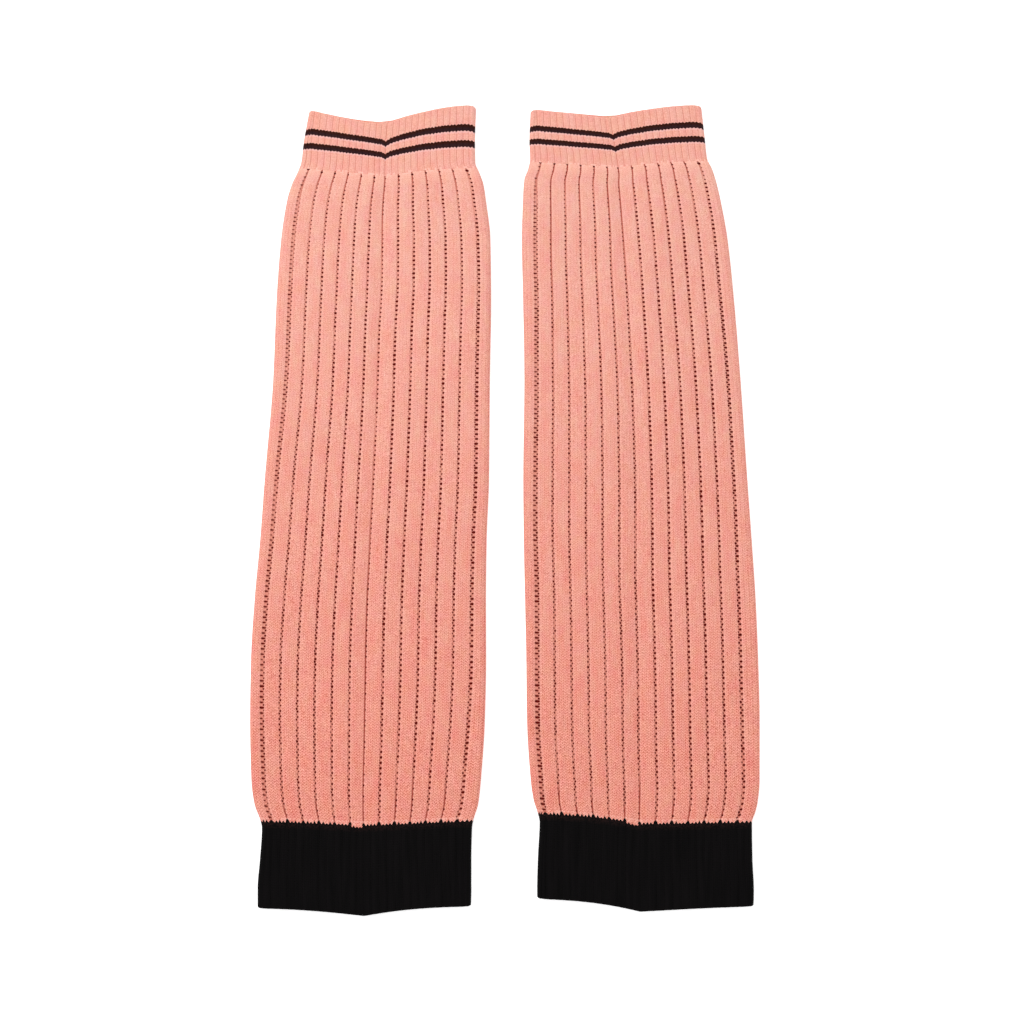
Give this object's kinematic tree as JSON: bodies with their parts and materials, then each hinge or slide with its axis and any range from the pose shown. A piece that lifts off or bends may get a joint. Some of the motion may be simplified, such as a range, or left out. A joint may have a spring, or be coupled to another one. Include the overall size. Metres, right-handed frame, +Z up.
{
  "type": "pair of leg warmers",
  "caption": "Pair of long ribbed knit leg warmers laid flat side by side: open tubes with a striped elastic cuff, ladder-stitch body and dark ribbed hem band, to keep the lower legs warm",
  "frame": {"origin": "centre of the pair's footprint, on the surface that it lies on", "axes": "+Y runs up the tubes toward their striped cuffs, +X is to the right seen from above, +Z is up out of the surface"},
  "size_m": [0.2828, 0.45, 0.0064],
  "materials": {
    "salmon_rib_knit": "matte salmon pink fine-rib elastic knit with two dark brown-black stripes",
    "salmon_ladder_knit": "matte, slightly fuzzy salmon pink knit in wide flat ribs, with dropped-stitch ladder columns between them",
    "black_rib_knit": "matte black fine-rib knit"
  },
  "bodies": {
    "root": {"left_cuff": "salmon_rib_knit", "left_body": "salmon_ladder_knit", "left_band": "black_rib_knit", "right_cuff": "salmon_rib_knit", "right_body": "salmon_ladder_knit", "right_band": "black_rib_knit"}
  },
  "joints": []
}
